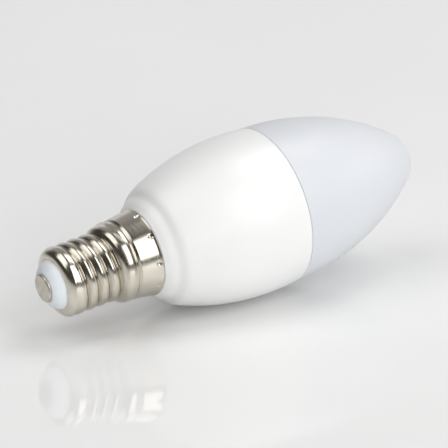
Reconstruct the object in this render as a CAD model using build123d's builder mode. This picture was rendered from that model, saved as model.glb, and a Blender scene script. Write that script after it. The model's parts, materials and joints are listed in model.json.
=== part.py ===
import os
from math import cos, radians, sin, sqrt, tan

from build123d import *

os.makedirs("parts", exist_ok=True)

# The lamp lies on its belly, with its cap end hanging a little lower
rest_dip = 7.15

# Edison screw of the 17 mm class, rolled into the shell: round crests with narrow roots between them
thread_major = 16.5
thread_depth = 0.675
thread_pitch = 2.822
thread_length = 13.25
thread_start = 2.39
thread_turn = 90.0
plain_length = 3.1
flank_angle = 40.0
root_width = 0.27
foot_cover = 0.02

# Quarter-rounds stand as a few flats, each turned by this angle from the one before
small_flat_angle = 45.0
broad_flat_angle = 30.0

# Rolled shell. Heights and steps are measured on the radius
sheet = 0.4
front_lip = 1.625
front_rounding = 2.2
shoulder_length = 2.65
shoulder_height = 1.25
shoulder_crown = 1.0
shoulder_fall = 0.1
crease_length = 0.4
crease_depth = 0.4
crease_width = 0.5
skirt_length = 4.6
skirt_taper = 0.65
rim_length = 0.6
rim_flare = 0.25

# Contact button with its rivet stem
contact_diameter = 6.6
contact_thickness = 1.0
contact_rounding = 0.35
stem_diameter = 2.4
stem_length = 5.0

# Insulator, with the contact standing proud of it
contact_proud = 0.6
nose_length = 2.4
nose_bulge = 0.4
nose_lip = 0.35
plug_length = 4.5

# Moulded housing
neck_length = 2.25
neck_wall = 1.45
collar_length = 2.3
collar_step = 1.7
collar_bulge = 0.2
groove_length = 0.6
groove_rise = 0.3
lip_length = 1.2
lip_height = 1.87
flare_length = 30.6
belly_setback = 6.2
belly_diameter = 38.6
housing_wall = 2.0
seam_bevel = 0.3
rim_land = 1.3
ledge = 1.0

# Moulded diffuser
dome_length = 41.2
tip_radius = 7.9
diffuser_wall = 1.5
diffuser_rounding = 0.5
spigot_length = 2.6
spigot_wall = 1.2
spigot_blend = 2.0

# Clearances where one piece sits in another
joint_gap = 0.25
press_gap = 0.03
seat_gap = 0.1

lamp_axis = Axis((0, 0, 0), (cos(radians(rest_dip)), 0, sin(radians(rest_dip))))
section = Plane((0, 0, 0), x_dir=lamp_axis.direction, z_dir=(0, -1, 0))

# Stations are distances along the lamp's axis from the face of the contact
shell_front = contact_proud + nose_length
plain_end = shell_front + plain_length
shoulder_foot = shell_front + thread_length
shoulder_station = shoulder_foot + shoulder_length
crown_end = shoulder_station + shoulder_crown
crease_station = crown_end + crease_length
skirt_start = crease_station + crease_width
skirt_end = skirt_start + skirt_length
shell_rim = skirt_end + rim_length
collar_start = shell_rim + seat_gap
collar_end = collar_start + collar_length
groove_station = collar_end + groove_length
flare_start = groove_station + lip_length
seam_station = flare_start + flare_length
belly_station = seam_station - belly_setback
lamp_length = seam_station + dome_length

# Radii that more than one piece takes up
thread_minor = thread_major - 2 * thread_depth
bore_radius = thread_minor / 2 - sheet
front_hole = thread_minor / 2 - front_lip
shoulder_radius = thread_major / 2 + shoulder_height
crease_radius = shoulder_radius - crease_depth
skirt_radius = shoulder_radius + skirt_taper
rim_radius = skirt_radius + rim_flare
collar_radius = rim_radius + collar_step
lip_radius = collar_radius + lip_height
belly_radius = belly_diameter / 2


# The plane across the lamp at a station
def across(station):
    return Plane(
        section.from_local_coords(Vector(station, 0)), x_dir=section.y_dir, z_dir=lamp_axis.direction
    )


# The points of a quarter-round at a corner that faces the cap's end
def rounded(station, radius, size, flat_angle):
    flats = round(90 / flat_angle)
    turns = [radians(90) * k / flats for k in range(flats + 1)]
    return [(station + size * (1 - cos(a)), radius - size * (1 - sin(a))) for a in turns]


# Contact: a flat button on a rivet stem
stem_end = contact_thickness + stem_length
with BuildPart() as centre_contact:
    with BuildSketch(section):
        with BuildLine():
            Polyline(
                (0, 0),
                *rounded(0, contact_diameter / 2, contact_rounding, small_flat_angle),
                (contact_thickness, contact_diameter / 2),
                (contact_thickness, stem_diameter / 2),
                (stem_end, stem_diameter / 2),
                (stem_end, 0),
                close=True,
            )
        make_face()
    revolve(axis=lamp_axis)
centre_contact.part.label = "centre_contact"
export_step(centre_contact.part, "parts/centre_contact.step")

# Insulator: a bulged cone outside the shell and a plug that fills the shell's front end
plug_radius = bore_radius - press_gap
plug_end = shell_front + plug_length
nose_radius = front_hole - press_gap
front_bend = shell_front + 2 * sheet
stem_hole = stem_diameter / 2 + press_gap
button_seat = contact_diameter / 2 + press_gap
face_radius = button_seat + nose_lip
nose_middle = (contact_proud + shell_front) / 2
nose_swell = (face_radius + nose_radius) / 2 + nose_bulge
with BuildPart() as tip_insulator:
    with BuildSketch(section):
        with BuildLine():
            Polyline(
                (shell_front, nose_radius),
                (shell_front + sheet + press_gap, nose_radius),
                (front_bend + press_gap, plug_radius),
                (plug_end, plug_radius),
                (plug_end, stem_hole),
                (contact_thickness, stem_hole),
                (contact_thickness, button_seat),
                (contact_proud, button_seat),
                (contact_proud, face_radius),
            )
            ThreePointArc(
                (contact_proud, face_radius), (nose_middle, nose_swell), (shell_front, nose_radius)
            )
        make_face()
    revolve(axis=lamp_axis)
tip_insulator.part.label = "tip_insulator"
export_step(tip_insulator.part, "parts/tip_insulator.step")

# Screw shell: a turned blank gets a helical ridge that rises out of its plain front, and then its bore
ridge_start = shell_front + thread_start
ridge_half = (thread_pitch - root_width) / 2
flank = radians(flank_angle)
crest_radius = (ridge_half - thread_depth / tan(flank)) / (sin(flank) - (1 - cos(flank)) / tan(flank))
crest_half = crest_radius * sin(flank)
crest_drop = crest_radius * (1 - cos(flank))
ridge_path = Helix(
    thread_pitch,
    shoulder_station - shoulder_length / 4 - ridge_start,
    thread_minor / 2,
    center=across(ridge_start).origin,
    direction=lamp_axis.direction,
).rotate(lamp_axis, thread_turn)
ridge_foot = ridge_path @ 0
ridge_plane = Plane(ridge_foot, x_dir=ridge_foot - across(ridge_start).origin, z_dir=ridge_path % 0)

core_radius = thread_minor / 2 + foot_cover
plain_radius = thread_major / 2 + foot_cover


# The wall inside the skirt, from the thread's bore to the rim, drawn in by a gap
def shell_inside(gap):
    return [
        (shoulder_foot + sheet + gap, bore_radius - gap),
        (crease_station + gap, crease_radius - sheet - gap),
        (skirt_end, skirt_radius - sheet - gap),
        (shell_rim, rim_radius - sheet - gap),
    ]


with BuildPart() as screw_shell:
    with BuildSketch(section):
        with BuildLine():
            TangentArc(
                (shoulder_station, shoulder_radius), (shoulder_foot, core_radius), tangent=(-1, 0)
            )
            Polyline(
                (shoulder_station, shoulder_radius),
                (crown_end, shoulder_radius - shoulder_fall),
                (crease_station, crease_radius),
                (skirt_start, shoulder_radius),
                (skirt_end, skirt_radius),
                (shell_rim, rim_radius),
                (shell_rim, 0),
                (shell_front, 0),
                *rounded(shell_front, plain_radius, front_rounding, broad_flat_angle),
                (plain_end, plain_radius),
                (plain_end + (plain_radius - core_radius) / tan(flank), core_radius),
                (shoulder_foot, core_radius),
            )
        make_face()
    revolve(axis=lamp_axis)
    with BuildSketch(ridge_plane):
        with BuildLine():
            ThreePointArc(
                (thread_depth - crest_drop, -crest_half),
                (thread_depth, 0),
                (thread_depth - crest_drop, crest_half),
            )
            Polyline(
                (thread_depth - crest_drop, crest_half),
                (0, ridge_half),
                (-sheet / 2, ridge_half),
                (-sheet / 2, -ridge_half),
                (0, -ridge_half),
                (thread_depth - crest_drop, -crest_half),
            )
        make_face()
    sweep(path=ridge_path, is_frenet=True)
    # Bore
    with BuildSketch(section):
        with BuildLine():
            Polyline(
                (shell_front, 0),
                (shell_front, front_hole),
                (shell_front + sheet, front_hole),
                (front_bend, bore_radius),
                *shell_inside(0),
                (shell_rim, 0),
                close=True,
            )
        make_face()
    revolve(axis=lamp_axis, mode=Mode.SUBTRACT)
screw_shell.part.label = "screw_shell"
export_step(screw_shell.part, "parts/screw_shell.step")


# Housing: one lathe-like moulding, open at the neck and at the seam. Its flare is one arc, level at the belly
flare_rise = belly_radius - lip_radius
flare_radius = ((belly_station - flare_start) ** 2 + flare_rise**2) / (2 * flare_rise)


# Outer radius of the flare at a station
def flare(station):
    return belly_radius - flare_radius + sqrt(flare_radius**2 - (belly_station - station) ** 2)


neck_start = shoulder_foot - neck_length
neck_radius = bore_radius - press_gap
neck_bore = neck_radius - neck_wall
collar_middle = (collar_start + collar_end) / 2
flare_middle = (flare_start + seam_station) / 2
bevel_start = seam_station - seam_bevel
seam_radius = flare(seam_station)
rebate_radius = seam_radius - rim_land
rebate_floor = seam_station - spigot_length - seat_gap
with BuildPart() as housing:
    with BuildSketch(section):
        with BuildLine():
            Polyline(
                (neck_start, neck_bore),
                (neck_start, neck_radius),
                *shell_inside(press_gap),
                (collar_start, rim_radius - sheet - press_gap),
                (collar_start, rim_radius),
                (collar_middle, (rim_radius + collar_radius) / 2 + collar_bulge),
                (collar_end, collar_radius),
                (groove_station, collar_radius + groove_rise),
                (flare_start, lip_radius),
            )
            ThreePointArc(
                (flare_start, lip_radius),
                (flare_middle, flare(flare_middle)),
                (bevel_start, flare(bevel_start)),
            )
            Polyline(
                (bevel_start, flare(bevel_start)),
                (seam_station, seam_radius - seam_bevel),
                (seam_station, rebate_radius),
                (rebate_floor, rebate_radius),
                (rebate_floor, rebate_radius - ledge),
                (flare_middle, flare(flare_middle) - housing_wall),
                (flare_start, lip_radius - housing_wall),
                (shell_rim, neck_bore),
                (neck_start, neck_bore),
            )
        make_face()
    revolve(axis=lamp_axis)
housing.part.label = "housing"
export_step(housing.part, "parts/housing.step")

# Diffuser: a pointed dome of one long arc and a round tip, with a spigot inside the housing's rim
dome_start = seam_station + joint_gap
dome_side = dome_start + diffuser_rounding
dome_reach = lamp_length - tip_radius - dome_side
side_radius = (dome_reach**2 + seam_radius**2 - tip_radius**2) / (2 * (seam_radius - tip_radius))
side_centre = Vector(dome_side, seam_radius - side_radius)
tip_centre = Vector(lamp_length - tip_radius, 0)
tangent_way = (tip_centre - side_centre).normalized()
spigot_radius = rebate_radius - press_gap
inside_radius = side_radius - diffuser_wall
blend_point = side_centre + Vector(spigot_blend, sqrt(inside_radius**2 - spigot_blend**2))
with BuildPart() as diffuser:
    with BuildSketch(section):
        with BuildLine():
            dome_side_arc = TangentArc(
                (dome_side, seam_radius), side_centre + tangent_way * side_radius, tangent=(1, 0)
            )
            TangentArc(dome_side_arc @ 1, (lamp_length, 0), tangent=dome_side_arc % 1)
            Line((lamp_length, 0), (lamp_length - diffuser_wall, 0))
            inside_tip = TangentArc(
                (lamp_length - diffuser_wall, 0), side_centre + tangent_way * inside_radius, tangent=(0, 1)
            )
            TangentArc(inside_tip @ 1, blend_point, tangent=inside_tip % 1)
            Polyline(
                blend_point,
                (dome_start, spigot_radius - spigot_wall),
                (seam_station - spigot_length, spigot_radius - spigot_wall),
                (seam_station - spigot_length, spigot_radius),
                (dome_start, spigot_radius),
                *rounded(dome_start, seam_radius, diffuser_rounding, small_flat_angle),
            )
        make_face()
    revolve(axis=lamp_axis)
diffuser.part.label = "diffuser"
export_step(diffuser.part, "parts/diffuser.step")
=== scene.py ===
import json
from math import atan2, cos, degrees, floor, hypot, pi, radians, sin, sqrt, tan

import bmesh
import bpy
from mathutils import Matrix, Vector


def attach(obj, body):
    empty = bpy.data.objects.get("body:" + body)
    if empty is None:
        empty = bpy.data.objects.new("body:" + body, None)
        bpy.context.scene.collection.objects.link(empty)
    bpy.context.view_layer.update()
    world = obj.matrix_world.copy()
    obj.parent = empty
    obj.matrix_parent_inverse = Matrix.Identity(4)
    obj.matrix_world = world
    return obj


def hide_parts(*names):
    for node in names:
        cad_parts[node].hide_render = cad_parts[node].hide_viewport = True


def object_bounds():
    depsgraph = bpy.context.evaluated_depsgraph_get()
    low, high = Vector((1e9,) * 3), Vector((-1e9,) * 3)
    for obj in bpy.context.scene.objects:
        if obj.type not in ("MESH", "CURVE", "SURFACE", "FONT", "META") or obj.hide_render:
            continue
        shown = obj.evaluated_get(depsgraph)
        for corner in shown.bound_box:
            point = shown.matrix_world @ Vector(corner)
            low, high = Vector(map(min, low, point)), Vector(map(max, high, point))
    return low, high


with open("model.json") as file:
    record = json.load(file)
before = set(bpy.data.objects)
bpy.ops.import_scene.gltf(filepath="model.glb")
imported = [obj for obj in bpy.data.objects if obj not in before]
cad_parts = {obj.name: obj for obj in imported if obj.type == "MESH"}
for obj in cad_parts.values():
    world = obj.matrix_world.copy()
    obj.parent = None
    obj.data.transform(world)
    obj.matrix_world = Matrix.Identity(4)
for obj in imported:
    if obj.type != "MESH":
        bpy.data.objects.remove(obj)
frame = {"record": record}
cadLow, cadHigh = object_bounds()
scene = bpy.context.scene
mm = 0.001

# the lamp's own axis in the row frame, from the cap to the tip
contactMount = next(m for m in frame["record"]["mounts"] if m["name"] == "contact_face")
lampAxis = -Vector(contactMount["axis"])
restDip = atan2(lampAxis.z, lampAxis.x)
lampToRow = Matrix.Rotation(-restDip, 4, "Y") @ Matrix.Scale(mm, 4)  # stations run along x, in millimetres
print("frame loaded, the lamp's axis dips", round(degrees(restDip), 2), "degrees to the cap")

# facets on an eased corner, doubles in millimetres, and the angle in degrees from which an edge stays sharp
meshing = {"cornerFacets": 7, "mergeDistance": 1e-4, "sharpAngle": 40}


# an outline is a list of (station, radius) points in millimetres
def arcPoints(centre, start, angle, count):
    arm = Vector(start) - Vector(centre)
    return [Vector(centre) + Matrix.Rotation(angle * k / count, 2) @ arm for k in range(count + 1)]


def arcThrough(start, middle, end, count):
    first, second = Vector(middle) - Vector(start), Vector(end) - Vector(start)
    across = first.length_squared * second - second.length_squared * first
    centre = Vector(start) + Vector((across.y, -across.x)) / (2 * (first.x * second.y - first.y * second.x))
    angle = (Vector(start) - centre).angle_signed(Vector(end) - centre)
    return arcPoints(centre, start, -angle, count)


def easedOutline(corners):
    # each corner is (station, radius, rounding): a sharp one has a rounding of 0
    spots = [Vector(c[:2]) for c in corners]
    outline = []
    for i, corner in enumerate(corners):
        if corner[2] == 0:
            outline.append(spots[i])
            continue
        before = (spots[i - 1] - spots[i]).normalized()
        after = (spots[(i + 1) % len(spots)] - spots[i]).normalized()
        half = before.angle(after) / 2
        centre = spots[i] + (before + after).normalized() * corner[2] / sin(half)
        start = spots[i] + before * corner[2] / tan(half)
        turn = (pi - 2 * half) * (1 if before.x * after.y > before.y * after.x else -1)
        outline += arcPoints(centre, start, -turn, meshing["cornerFacets"])
    return outline


def rowsBetween(start, end, step):
    # points on a straight run, without its two ends
    count = max(1, round((Vector(end) - Vector(start)).length / step))
    return [Vector(start).lerp(Vector(end), k / count) for k in range(1, count)]


def spinOutline(outline, steps, closed=True):
    # turns an outline about the lamp's axis
    bm = bmesh.new()
    spots = [bm.verts.new((p[0], p[1], 0)) for p in outline]
    pairs = list(zip(spots, spots[1:])) + ([(spots[-1], spots[0])] if closed else [])
    edges = [bm.edges.new(pair) for pair in pairs]
    bmesh.ops.spin(
        bm, geom=spots + edges, cent=(0, 0, 0), axis=(1, 0, 0), angle=2 * pi, steps=steps, use_merge=True
    )
    bmesh.ops.remove_doubles(bm, verts=bm.verts, dist=meshing["mergeDistance"])
    bmesh.ops.recalc_face_normals(bm, faces=bm.faces)
    return bm


def finishPiece(bm, name, node, material):
    bm.transform(lampToRow)
    mesh = bpy.data.meshes.new(name)
    bm.to_mesh(mesh)
    bm.free()
    mesh.shade_smooth()
    mesh.set_sharp_from_angle(angle=radians(meshing["sharpAngle"]))
    mesh.materials.append(material)
    piece = bpy.data.objects.new(name, mesh)
    scene.collection.objects.link(piece)
    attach(piece, "root")
    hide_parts(node)
    print(name, "made,", len(mesh.polygons), "faces")


# shader nodes
def newNode(tree, kind, inputs=None, **options):
    # an input is a plain value, or the socket that feeds it
    node = tree.nodes.new("ShaderNode" + kind)
    for option, value in options.items():
        setattr(node, option, value)
    for socket, value in (inputs or {}).items():
        if isinstance(value, bpy.types.NodeSocket):
            tree.links.new(value, node.inputs[socket])
        else:
            node.inputs[socket].default_value = value
    return node


def spread(tree, value, low, high):
    # stretches 0 to 1 over two values
    return newNode(tree, "MapRange", {"Value": value, "To Min": low, "To Max": high}).outputs["Result"]


def ramp(tree, value, start, end, kind="LINEAR"):
    # goes from 0 to 1 between two values
    limits = {"Value": value, "From Min": start, "From Max": end}
    return newNode(tree, "MapRange", limits, interpolation_type=kind).outputs["Result"]


def product(tree, first, second):
    return newNode(tree, "Math", {0: first, 1: second}, operation="MULTIPLY").outputs[0]


def blendColours(tree, factor, first, second):
    mix = newNode(tree, "Mix", {"Factor": factor, "A": first, "B": second}, data_type="RGBA")
    return mix.outputs["Result"]


def perSize(tree, size):
    # the texture scale of a pattern whose size is in millimetres
    return newNode(tree, "Math", {0: 1 / mm, 1: size}, operation="DIVIDE").outputs[0]


def axisRadius(tree, vector):
    # station along the lamp and distance from its axis, in metres
    split = newNode(tree, "SeparateXYZ", {"Vector": vector})
    flat = newNode(tree, "CombineXYZ", {"Y": split.outputs["Y"], "Z": split.outputs["Z"]})
    length = newNode(tree, "VectorMath", {0: flat.outputs["Vector"]}, operation="LENGTH")
    return split.outputs["X"], length.outputs["Value"]


# both patterns use noise of this detail, with the span stretched to run from 0 to 1
pattern = {
    "detail": 3,
    "span": (0.3, 0.7),
    "lineDrift": 0.03,  # change of a turned line on its way round, as a share of the change across the lines
}


def startGroup(name, sizes, outputs):
    tree = bpy.data.node_groups.new(name, "ShaderNodeTree")
    tree.interface.new_socket(name="Vector", in_out="INPUT", socket_type="NodeSocketVector")
    for socket in sizes:
        tree.interface.new_socket(name=socket, in_out="INPUT", socket_type="NodeSocketFloat")
    for socket in outputs:
        tree.interface.new_socket(name=socket, in_out="OUTPUT", socket_type="NodeSocketFloat")
    return tree, tree.nodes.new("NodeGroupInput"), tree.nodes.new("NodeGroupOutput")


def patternNoise(tree, size, inputs, **options):
    settings = {"Scale": perSize(tree, size), "Detail": pattern["detail"], **inputs}
    noise = newNode(tree, "TexNoise", settings, **options)
    return ramp(tree, noise.outputs["Fac"], *pattern["span"])


def buildMottle():
    # soft clouds and fine grain
    tree, into, out = startGroup("mottle", ("Cloud Size", "Grain Size"), ("Cloud", "Grain"))
    for output in ("Cloud", "Grain"):
        noise = patternNoise(tree, into.outputs[output + " Size"], {"Vector": into.outputs["Vector"]})
        tree.links.new(noise, out.inputs[output])
    return tree


def buildTurnedLines():
    # fine marks that run round the lamp's axis
    tree, into, out = startGroup("turnedLines", ("Line Size",), ("Lines",))
    station, radius = axisRadius(tree, into.outputs["Vector"])
    along = newNode(tree, "Math", {0: station, 1: radius}, operation="ADD").outputs[0]
    drift = {0: into.outputs["Vector"], "Scale": pattern["lineDrift"]}
    slow = newNode(tree, "VectorMath", drift, operation="SCALE").outputs["Vector"]
    lines = patternNoise(tree, into.outputs["Line Size"], {"Vector": slow, "W": along}, noise_dimensions="4D")
    tree.links.new(lines, out.inputs["Lines"])
    return tree


mottle = buildMottle()
turnedLines = buildTurnedLines()


def startMaterial(name, shaderSettings):
    material = bpy.data.materials.new(name)
    material.use_nodes = True
    shader = material.node_tree.nodes["Principled BSDF"]
    for socket, value in shaderSettings.items():
        shader.inputs[socket].default_value = value
    return material, material.node_tree, shader


def lampCoordinates(tree):
    # Object coordinates, turned so that x runs along the lamp
    place = newNode(tree, "TexCoord").outputs["Object"]
    return newNode(tree, "Mapping", {"Vector": place, "Rotation": (0, restDip, 0)}).outputs["Vector"]


def placeMottle(tree, place, finish):
    sizes = {"Cloud Size": finish["cloudSize"], "Grain Size": finish["grainSize"]}
    return newNode(tree, "Group", {"Vector": place, **sizes}, node_tree=mottle)


def bumpFrom(tree, height, depth):
    return newNode(tree, "Bump", {"Height": height, "Distance": depth * mm}).outputs["Normal"]


def mouldedPlastic(name, finish):
    material, tree, shader = startMaterial(name, finish["shader"])
    spots = placeMottle(tree, lampCoordinates(tree), finish)
    colour = blendColours(tree, spots.outputs["Cloud"], *finish["colours"])
    tree.links.new(colour, shader.inputs["Base Color"])
    tree.links.new(bumpFrom(tree, spots.outputs["Grain"], finish["grainDepth"]), shader.inputs["Normal"])
    return material


def platedMetal(name, finish, rootShadeMask=None):
    # rootShadeMask gives where shade is painted into the plate as a darker colour, from the station and the
    # radius
    material, tree, shader = startMaterial(name, finish["shader"])
    place = lampCoordinates(tree)
    spots = placeMottle(tree, place, finish)
    lines = newNode(tree, "Group", {"Vector": place, "Line Size": finish["lineSize"]}, node_tree=turnedLines)
    colour = blendColours(tree, spots.outputs["Cloud"], *finish["colours"])
    if rootShadeMask:
        # painted shade: the roots of the thread take the darker colour, in grain patches
        patches = spread(tree, spots.outputs["Grain"], *finish["rootShadeShare"])
        rootShade = product(tree, rootShadeMask(tree, *axisRadius(tree, place)), patches)
        colour = blendColours(tree, rootShade, colour, finish["rootShadeColour"])
    tree.links.new(colour, shader.inputs["Base Color"])
    tree.links.new(spread(tree, lines.outputs["Lines"], *finish["roughness"]), shader.inputs["Roughness"])
    tree.links.new(bumpFrom(tree, lines.outputs["Lines"], finish["lineDepth"]), shader.inputs["Normal"])
    return material


# rolled screw shell
shell = {
    "front": 3.0,
    "hole": 5.95,
    "frontRounding": 2.2,
    "frontFacets": 16,
    "crest": 8.24,
    "threadDepth": 0.655,
    "rootRadius": 0.5,
    "pitch": 2.822,
    "firstCrest": 4.685,  # station of the first crest on the +Y side
    "grooveStart": (-0.9, 0.35),  # turns over which the groove deepens out of the plain front
    "grooveEnd": (3.7, 4.4),  # turns over which it runs out on the shoulder
    "shoulderFoot": 15.5,
    "shoulder": (18.9, 9.48),
    "ridge": [(19.65, 9.38, 0.5), (20.3, 8.98, 0.18)],  # crown and crease, with their roundings
    "skirtStart": (20.8, 9.47, 0.15),
    "skirtEnd": (25.4, 10.13),
    "rim": (26.0, 10.38, 0.12),
    "inside": [(26.0, 10.0), (25.4, 9.75), (20.3, 8.7), (16.65, 7.175), (3.8, 7.175), (3.4, 5.95)],
    "outsideFrom": 7.275,  # only points further out than this take the thread
    "threadStep": 0.11,
    "skirtStep": 0.5,
    "steps": 360,
    "crimps": {"count": 10, "turn": 0.085, "station": 25.0, "radius": 0.6, "depth": 0.26, "step": 0.07},
}
nickelFinish = {
    "shader": {"Metallic": 1.0},
    "colours": ((0.73, 0.69, 0.61, 1), (0.67, 0.625, 0.54, 1)),
    # painted shade: the darker colour laid into the roots of the thread
    "rootShadeColour": (0.42, 0.37, 0.29, 1),
    "rootShadeRadius": (8.0, 7.6),  # painted shade: the plate is coloured darker in the roots of the thread
    "rootShadeStation": (5.6, 6.6),
    "rootShadeShare": (0.5, 1.0),
    "roughness": (0.16, 0.25),
    "cloudSize": 5.0,
    "grainSize": 0.4,
    "lineSize": 0.25,
    "lineDepth": 0.0015,
}


def smoothStep(value, start, end):
    share = min(max((value - start) / (end - start), 0), 1)
    return share * share * (3 - 2 * share)


def blankRadius(station):
    # a plain tube and a round shoulder, level where it meets its crown
    foot, top = Vector((shell["shoulderFoot"], shell["crest"])), Vector(shell["shoulder"])
    if station < foot.x:
        return foot.y
    bend = (top - foot).length_squared / (2 * (top.y - foot.y))
    return top.y - bend + sqrt(bend**2 - (top.x - station) ** 2)


def threadRadius(station, turn):
    # round crests and tighter round roots, tangent to each other
    pitch, depth, root = shell["pitch"], shell["threadDepth"], shell["rootRadius"]
    reach = (pitch**2 / 4 + depth**2) / (2 * depth)  # distance between the centres of the two arcs
    along = (station - shell["firstCrest"]) / pitch - turn
    offset = abs(along - round(along)) * pitch
    crest = reach - root
    if offset < crest * pitch / 2 / reach:
        dip = crest - sqrt(crest**2 - offset**2)
    else:
        dip = depth - root + sqrt(root**2 - (pitch / 2 - offset) ** 2)
    run = floor(along) + turn
    begun, ended = (smoothStep(run, *shell[key]) for key in ("grooveStart", "grooveEnd"))
    share = dip / depth * begun * (1 - ended)
    blank = blankRadius(station)
    return blank - (blank - shell["crest"] + depth) * share


def shellOutline():
    s, crimps = shell, shell["crimps"]
    bend = (s["front"] + s["frontRounding"], s["crest"] - s["frontRounding"])
    outline = [Vector((s["front"], s["hole"]))]
    outline += arcPoints(bend, (s["front"], bend[1]), -pi / 2, s["frontFacets"])
    outline += rowsBetween(outline[-1], (s["shoulder"][0], s["crest"]), s["threadStep"])
    outline += easedOutline([(*s["shoulder"], 0), *s["ridge"], s["skirtStart"], (*s["skirtEnd"], 0)])[:-1]
    skirt = Vector(s["skirtEnd"]) - Vector(s["skirtStart"][:2])
    dentedLength = s["skirtEnd"][0] - crimps["station"] + crimps["radius"]
    dented = Vector(s["skirtEnd"]) - skirt * dentedLength / skirt.x
    outline += rowsBetween(outline[-1], dented, s["skirtStep"]) + [dented]
    outline += rowsBetween(dented, s["skirtEnd"], crimps["step"])
    outline += easedOutline([(*s["skirtEnd"], 0), s["rim"], (*s["inside"][0], 0)])
    return outline + [Vector(p) for p in s["inside"][1:]]


def crimpedRadius(station, turn, radius):
    crimps = shell["crimps"]
    around = (turn - crimps["turn"]) * crimps["count"]
    side = (around - round(around)) / crimps["count"] * 2 * pi * radius
    away = hypot(side, station - crimps["station"]) / crimps["radius"]
    return radius - crimps["depth"] * max(0, 1 - away**2)


def rollShell(bm):
    threadEnd = shell["shoulder"][0] - meshing["mergeDistance"]
    crimps = shell["crimps"]
    for v in bm.verts:
        station, radius = v.co.x, hypot(v.co.y, v.co.z)
        turn = atan2(v.co.z, v.co.y) / (2 * pi) % 1
        rolled = radius
        if radius > shell["outsideFrom"] and station < threadEnd:
            rolled = threadRadius(station, turn)
            if station < shell["shoulderFoot"]:
                rolled = min(radius, rolled)
        elif abs(station - crimps["station"]) < crimps["radius"] and radius > shell["skirtStart"][1]:
            rolled = crimpedRadius(station, turn, radius)
        v.co.y *= rolled / radius
        v.co.z *= rolled / radius


# painted shade: the mask of the thread's roots that get the darker colour
def threadRoots(tree, station, radius):
    near, deep = nickelFinish["rootShadeRadius"]
    start, full = nickelFinish["rootShadeStation"]
    return product(tree, ramp(tree, radius, near * mm, deep * mm), ramp(tree, station, start * mm, full * mm))


shellMesh = spinOutline(shellOutline(), shell["steps"])
rollShell(shellMesh)
finishPiece(
    shellMesh,
    "screwShell",
    "screw_shell",
    platedMetal("brightNickel", nickelFinish, threadRoots),
)

# contact button
contact = {
    "radius": 3.28,
    "thickness": 1.0,
    "rounding": 0.35,
    "stemRadius": 1.2,
    "stemEnd": 6.0,
    "steps": 128,
}
contactFinish = {
    "shader": {"Metallic": 1.0},
    "colours": ((0.68, 0.64, 0.57, 1), (0.56, 0.52, 0.45, 1)),
    "roughness": (0.26, 0.4),
    "cloudSize": 1.6,
    "grainSize": 0.3,
    "lineSize": 0.2,
    "lineDepth": 0.004,
}


def contactOutline():
    c = contact
    corners = [
        (0, 0, 0),
        (0, c["radius"], c["rounding"]),
        (c["thickness"], c["radius"], 0),
        (c["thickness"], c["stemRadius"], 0),
        (c["stemEnd"], c["stemRadius"], 0),
        (c["stemEnd"], 0, 0),
    ]
    return easedOutline(corners)


finishPiece(
    spinOutline(contactOutline(), contact["steps"], closed=False),
    "centreContact",
    "centre_contact",
    platedMetal("dullNickel", contactFinish),
)

# insulator between the contact and the shell
insulator = {
    "face": (0.62, 3.66, 0.12),
    "middle": (1.8, 5.18),
    "foot": (3.0, 5.9),
    "plug": [(3.43, 5.9), (3.83, 7.1), (7.5, 7.1), (7.5, 1.23), (1.0, 1.23), (1.0, 3.33)],
    "noseFacets": 20,
    "lipFacets": 3,  # facets of the nose that the face's rounding may take up
    "steps": 128,
}
insulatorFinish = {
    "shader": {"Specular IOR Level": 0.45, "Roughness": 0.4},
    "colours": ((0.82, 0.865, 0.90, 1), (0.785, 0.835, 0.87, 1)),
    "cloudSize": 3.0,
    "grainSize": 0.25,
    "grainDepth": 0.003,
}


def insulatorOutline():
    face, seat, lipFacets = insulator["face"], insulator["plug"][-1], insulator["lipFacets"]
    nose = arcThrough(face[:2], insulator["middle"], insulator["foot"], insulator["noseFacets"])
    lip = easedOutline([(face[0], seat[1], 0), face, (*nose[lipFacets], 0)])
    return lip + nose[lipFacets + 1 :] + [Vector(p) for p in insulator["plug"]]


finishPiece(
    spinOutline(insulatorOutline(), insulator["steps"]),
    "tipInsulator",
    "tip_insulator",
    mouldedPlastic("bluishPlastic", insulatorFinish),
)

# moulded housing
housing = {
    "neck": [(14.0, 5.7), (14.0, 7.14), (16.68, 7.14), (20.33, 8.67), (25.4, 9.72), (26.0, 9.97)],
    "collar": [(26.1, 9.97, 0), (26.1, 10.38, 0.15), (27.25, 11.45, 3), (28.8, 12.36, 3)],
    "flareStart": (30.2, 13.95, 4),
    "flareFacets": 60,
    "lipFacets": 3,  # facets of the flare that the lip's rounding may take up
    "belly": (54.6, 19.28),
    "seam": 60.8,
    "seamRounding": 0.15,
    "rimLand": 1.3,
    "rebate": (2.7, 1.0),  # length and step
    "inside": [(45.5, 16.6), (30.2, 11.98), (26.0, 5.7)],
    "steps": 256,
}
housingFinish = {
    "shader": {"Specular IOR Level": 0.45, "Roughness": 0.28},
    "colours": ((0.86, 0.866, 0.86, 1), (0.84, 0.846, 0.838, 1)),
    "cloudSize": 14.0,
    "grainSize": 0.5,
    "grainDepth": 0.0003,
}


def flareArc():
    # one arc from the lip to the seam, level at the belly
    start, belly = Vector(housing["flareStart"][:2]), Vector(housing["belly"])
    rise = belly.y - start.y
    radius = ((belly.x - start.x) ** 2 + rise**2) / (2 * rise)
    centre = Vector((belly.x, belly.y - radius))
    angle = atan2(start.y - centre.y, start.x - centre.x)
    end = pi / 2 - (housing["seam"] - belly.x) / radius
    return arcPoints(centre, start, end - angle, housing["flareFacets"])


flare = flareArc()
seamEdge = flare[-1]


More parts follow.
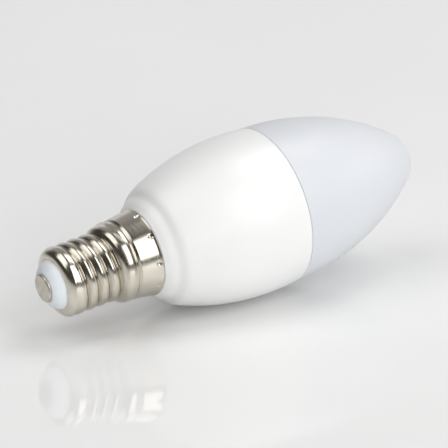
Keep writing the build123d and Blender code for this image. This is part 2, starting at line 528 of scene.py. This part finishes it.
def housingOutline():
    h = housing
    inner = seamEdge.y - h["rimLand"]
    rebateLength, rebateStep = h["rebate"]
    collar = [*h["collar"], h["flareStart"], (*flare[h["lipFacets"]], 0)]
    rim = [
        (seamEdge.x - 1, seamEdge.y, 0),  # gives the rounding its direction, and is left out
        (*seamEdge, h["seamRounding"]),
        (seamEdge.x, inner, 0),
        (seamEdge.x - rebateLength, inner, 0),
        (seamEdge.x - rebateLength, inner - rebateStep, 0),
    ]
    return (
        [Vector(p) for p in h["neck"]]
        + easedOutline(collar)[:-1]
        + flare[h["lipFacets"] : -1]
        + easedOutline(rim)[1:]
        + [Vector(p) for p in h["inside"]]
    )


finishPiece(
    spinOutline(housingOutline(), housing["steps"]),
    "lampHousing",
    "housing",
    mouldedPlastic("whitePlastic", housingFinish),
)

# frosted diffuser
diffuser = {
    "gap": 0.1,
    "rounding": 0.25,
    "length": 41.17,
    "tipRadius": 7.9,
    "wall": 1.5,
    "spigot": (2.6, 1.2),  # length and wall
    "pressGap": 0.03,
    "sideFacets": 60,
    "tipFacets": (16, 10),  # outside and inside
    "steps": 256,
}
diffuserFinish = {
    "shader": {"Specular IOR Level": 0.4, "Roughness": 0.36},
    "colours": ((0.69, 0.708, 0.742, 1), (0.67, 0.69, 0.727, 1)),
    "cloudSize": 16.0,
    "grainSize": 0.35,
    "grainDepth": 0.003,
}


def diffuserOutline():
    # two arcs, the first level at the seam and the second about the tip, with a wall inside and a spigot
    d, edge = diffuser, seamEdge.y
    start = housing["seam"] + d["gap"]
    side = Vector((start + d["rounding"], edge))
    tip = Vector((housing["seam"] + d["length"] - d["tipRadius"], 0))
    sideRadius = ((tip.x - side.x) ** 2 + edge**2 - d["tipRadius"] ** 2) / (2 * (edge - d["tipRadius"]))
    centre = Vector((side.x, edge - sideRadius))
    lean = atan2(tip.y - centre.y, tip.x - centre.x)
    outerFacets, innerFacets = d["tipFacets"]
    outside = arcPoints(centre, side, lean - pi / 2, d["sideFacets"])
    innerRows = outside[2::2]  # every second row is enough inside
    outside += arcPoints(tip, outside[-1], -lean, outerFacets)[1:]
    inner = [centre + (p - centre).normalized() * (sideRadius - d["wall"]) for p in innerRows]
    inner += arcPoints(tip, inner[-1], -lean, innerFacets)[1:]
    spigotLength, spigotWall = d["spigot"]
    spigotRadius = edge - housing["rimLand"] - d["pressGap"]
    spigotEnd = housing["seam"] - spigotLength
    foot = [
        (start, spigotRadius - spigotWall, 0),
        (spigotEnd, spigotRadius - spigotWall, 0),
        (spigotEnd, spigotRadius, 0),
        (start, spigotRadius, 0),
        (start, edge, d["rounding"]),
        (start + 1, edge, 0),  # gives the rounding its direction, and is left out
    ]
    return inner[::-1] + easedOutline(foot)[:-1] + outside[1:]


finishPiece(
    spinOutline(diffuserOutline(), diffuser["steps"], closed=False),
    "lampDiffuser",
    "diffuser",
    mouldedPlastic("milkyPlastic", diffuserFinish),
)

# glossy table
table = {
    "size": 6.0,
    "colours": ((0.86, 0.863, 0.86, 1), (0.845, 0.848, 0.845, 1)),
    "roughness": (0.05, 0.08),
    "cloudSize": 60.0,
    "grainSize": 4.0,
    "lift": 0.02,
}


def glossyTable():
    material, tree, shader = startMaterial("glossyTable", {})
    spots = placeMottle(tree, newNode(tree, "TexCoord").outputs["Object"], table)
    colour = blendColours(tree, spots.outputs["Cloud"], *table["colours"])
    tree.links.new(colour, shader.inputs["Base Color"])
    tree.links.new(colour, shader.inputs["Emission Color"])
    tree.links.new(spread(tree, spots.outputs["Grain"], *table["roughness"]), shader.inputs["Roughness"])
    # the lift is for the eye and for mirror images, and lights nothing
    path = newNode(tree, "LightPath").outputs
    seen = newNode(tree, "Math", {0: path["Is Camera Ray"], 1: path["Is Glossy Ray"]}, operation="MAXIMUM")
    tree.links.new(product(tree, seen.outputs[0], table["lift"]), shader.inputs["Emission Strength"])
    return material


bm = bmesh.new()
bmesh.ops.create_grid(bm, x_segments=1, y_segments=1, size=table["size"] / 2)
bmesh.ops.translate(bm, verts=bm.verts, vec=(0, 0, cadLow.z))
tableMesh = bpy.data.meshes.new("table")
bm.to_mesh(tableMesh)
bm.free()
tableMesh.materials.append(glossyTable())
tableTop = bpy.data.objects.new("table", tableMesh)
scene.collection.objects.link(tableTop)
print("table set at", round(cadLow.z / mm, 2), "mm")

# softboxes by the camera and high on each side, and a pale card to the right: the metal mirrors these four
softboxes = {
    "softbox": {"azimuth": 16, "elevation": 34, "distance": 2.6, "size": (1.15, 2.5), "power": 26},
    "leftTop": {"azimuth": -100, "elevation": 57, "distance": 2.2, "size": (1.8, 2.1), "power": 18},
    "rightTop": {"azimuth": 91, "elevation": 63, "distance": 2.2, "size": (1.2, 1.2), "power": 13},
    "rightCard": {"azimuth": 64, "elevation": 17, "distance": 2.2, "size": (1.1, 0.9), "power": 4},
}
# fill light that no surface mirrors
fills = {
    "frontFill": {"azimuth": -18, "elevation": 13, "distance": 2.2, "size": (1.6, 1.0), "power": 21},
    "rightFill": {"azimuth": 76, "elevation": 27, "distance": 2.2, "size": (0.8, 0.8), "power": 7},
}
room = {
    "dark": (0.05, 0.046, 0.04, 1),
    "pale": (0.36, 0.36, 0.365, 1),
    "horizon": (0.72, 0.72, 0.73, 1),
    "horizonHeight": (0.5, 0.36),  # pale at the first, and as bright as the horizon at the second
    "surround": (42, 104),  # degrees from the softbox where the dark begins to fade, and ends
    "leftSide": (-0.45, 0.1),  # dark at the first, pale at the second
}


def addLight(name, settings, mirrored):
    light = bpy.data.lights.new(name, "AREA")
    light.shape = "RECTANGLE"
    light.size, light.size_y = settings["size"]
    light.energy = settings["power"]
    lamp = bpy.data.objects.new(name, light)
    turn, lift = radians(settings["azimuth"]), radians(settings["elevation"])
    towards = Vector((sin(turn) * cos(lift), -cos(turn) * cos(lift), sin(lift)))
    lamp.location = towards * settings["distance"]
    lamp.rotation_euler = towards.to_track_quat("Z", "Y").to_euler()
    lamp.visible_camera = False
    lamp.visible_glossy = mirrored
    scene.collection.objects.link(lamp)
    return towards


def buildRoom(towardsSoftbox):
    # dark round the softbox and on the left, pale elsewhere, with a bright horizon
    world = bpy.data.worlds.new("paleRoom")
    world.use_nodes = True
    scene.world = world
    tree = world.node_tree
    way = newNode(tree, "TexCoord").outputs["Generated"]
    facing = newNode(tree, "VectorMath", {0: way, 1: towardsSoftbox}, operation="DOT_PRODUCT").outputs
    split = newNode(tree, "SeparateXYZ", {"Vector": way}).outputs
    low = ramp(tree, split["Z"], *room["horizonHeight"], "SMOOTHSTEP")
    wall = blendColours(tree, low, room["pale"], room["horizon"])
    inner, outer = (cos(radians(angle)) for angle in room["surround"])
    away = ramp(tree, facing["Value"], inner, outer, "SMOOTHSTEP")
    right = ramp(tree, split["X"], *room["leftSide"], "SMOOTHSTEP")
    colour = blendColours(tree, product(tree, away, right), room["dark"], wall)
    tree.links.new(colour, tree.nodes["Background"].inputs["Color"])


towards = {name: addLight(name, settings, True) for name, settings in softboxes.items()}
for name, settings in fills.items():
    addLight(name, settings, False)
buildRoom(towards["softbox"])

# camera at the photograph's viewing angle
view = {
    "place": (-0.26605, -0.4703, 0.21253),
    "pitch": 69.9,
    "azimuth": -33.8,
    "lens": 208.93,
    "sensor": 36.0,
    "clipStart": 0.01,
}
camera = bpy.data.objects.new("camera", bpy.data.cameras.new("camera"))
camera.data.lens = view["lens"]
camera.data.sensor_width = view["sensor"]
camera.data.clip_start = view["clipStart"]
camera.location = view["place"]
camera.rotation_euler = (radians(view["pitch"]), 0, radians(view["azimuth"]))
scene.collection.objects.link(camera)
scene.camera = camera
scene.view_settings.view_transform = "Standard"
print("camera and light set")
